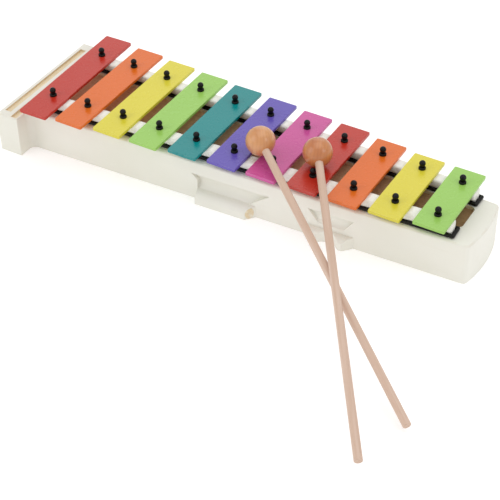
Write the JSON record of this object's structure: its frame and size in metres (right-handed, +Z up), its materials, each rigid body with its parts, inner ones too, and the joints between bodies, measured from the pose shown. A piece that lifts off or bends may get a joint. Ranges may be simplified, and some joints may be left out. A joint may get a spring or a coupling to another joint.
{
  "type": "glockenspiel",
  "caption": "Child's glockenspiel: coloured steel bars on felt rails over a tapered cream wooden resonator box, with two wooden ball mallets lying across it.",
  "frame": {"origin": "on the floor in the middle of the resonator box, on its centre line", "axes": "+X along the box towards the short high bars, +Y away from the player, +Z up"},
  "size_m": [0.3414, 0.2322, 0.0579],
  "materials": {
    "cream_lacquered_wood": "satin cream-white lacquer over pale wood, bare wood inside the hollow and the grooves",
    "raw_board": "bare brown fibre board",
    "zinc_steel": "zinc-plated",
    "white_felt": "pressed felt",
    "black_rubber": "smooth",
    "black_grommet": "smooth",
    "black_pin": "black enamel",
    "red_paint": "gloss enamel",
    "orange_paint": "gloss enamel",
    "yellow_paint": "gloss enamel",
    "light_green_paint": "gloss enamel",
    "teal_paint": "gloss enamel",
    "violet_paint": "gloss enamel",
    "pink_paint": "gloss enamel",
    "varnished_wood": "orange-brown varnish",
    "plain_beech": "plain, lightly sanded"
  },
  "bodies": {
    "resonator_box": {"left_end_block": "cream_lacquered_wood", "right_end_block": "cream_lacquered_wood", "front_wall": "cream_lacquered_wood", "rear_wall": "cream_lacquered_wood", "inner_board": "raw_board", "bottom_board": "raw_board", "board_screws": "zinc_steel", "front_felt_rail": "white_felt", "rear_felt_rail": "white_felt", "front_rubber_cord": "black_rubber", "rear_rubber_cord": "black_rubber", "front_pins": "black_pin", "rear_pins": "black_pin"},
    "bar_01": {"bar_01_red": "red_paint", "bar_01_red_grommets": "black_grommet"},
    "bar_02": {"bar_02_orange": "orange_paint", "bar_02_orange_grommets": "black_grommet"},
    "bar_03": {"bar_03_yellow": "yellow_paint", "bar_03_yellow_grommets": "black_grommet"},
    "bar_04": {"bar_04_light_green": "light_green_paint", "bar_04_light_green_grommets": "black_grommet"},
    "bar_05": {"bar_05_teal": "teal_paint", "bar_05_teal_grommets": "black_grommet"},
    "bar_06": {"bar_06_violet": "violet_paint", "bar_06_violet_grommets": "black_grommet"},
    "bar_07": {"bar_07_pink": "pink_paint", "bar_07_pink_grommets": "black_grommet"},
    "bar_08": {"bar_08_red": "red_paint", "bar_08_red_grommets": "black_grommet"},
    "bar_09": {"bar_09_orange": "orange_paint", "bar_09_orange_grommets": "black_grommet"},
    "bar_10": {"bar_10_yellow": "yellow_paint", "bar_10_yellow_grommets": "black_grommet"},
    "bar_11": {"bar_11_light_green": "light_green_paint", "bar_11_light_green_grommets": "black_grommet"},
    "mallet_1": {"mallet_1_head": "varnished_wood", "mallet_1_stick": "plain_beech"},
    "mallet_2": {"mallet_2_head": "varnished_wood", "mallet_2_stick": "plain_beech"}
  },
  "joints": [
    {"name": "bar_01_play", "type": "slide", "parent": "resonator_box", "child": "bar_01", "axis": [0, 0, 1], "range_m": [0, 0.0007]},
    {"name": "bar_02_play", "type": "slide", "parent": "resonator_box", "child": "bar_02", "axis": [0, 0, 1], "range_m": [0, 0.0007]},
    {"name": "bar_03_play", "type": "slide", "parent": "resonator_box", "child": "bar_03", "axis": [0, 0, 1], "range_m": [0, 0.0007]},
    {"name": "bar_04_play", "type": "slide", "parent": "resonator_box", "child": "bar_04", "axis": [0, 0, 1], "range_m": [0, 0.0007]},
    {"name": "bar_05_play", "type": "slide", "parent": "resonator_box", "child": "bar_05", "axis": [0, 0, 1], "range_m": [0, 0.0007]},
    {"name": "bar_06_play", "type": "slide", "parent": "resonator_box", "child": "bar_06", "axis": [0, 0, 1], "range_m": [0, 0.0007]},
    {"name": "bar_07_play", "type": "slide", "parent": "resonator_box", "child": "bar_07", "axis": [0, 0, 1], "range_m": [0, 0.0007]},
    {"name": "bar_08_play", "type": "slide", "parent": "resonator_box", "child": "bar_08", "axis": [0, 0, 1], "range_m": [0, 0.0007]},
    {"name": "bar_09_play", "type": "slide", "parent": "resonator_box", "child": "bar_09", "axis": [0, 0, 1], "range_m": [0, 0.0007]},
    {"name": "bar_10_play", "type": "slide", "parent": "resonator_box", "child": "bar_10", "axis": [0, 0, 1], "range_m": [0, 0.0007]},
    {"name": "bar_11_play", "type": "slide", "parent": "resonator_box", "child": "bar_11", "axis": [0, 0, 1], "range_m": [0, 0.0007]},
    {"name": "mallet_2_lift", "type": "slide", "parent": "resonator_box", "child": "mallet_2", "axis": [0, 0, 1], "range_m": [0, 0.06]},
    {"name": "mallet_1_draw", "type": "slide", "parent": "resonator_box", "child": "mallet_1", "axis": [-0.7669, 0.6078, 0.2062], "range_m": [0, 0.2]}
  ]
}
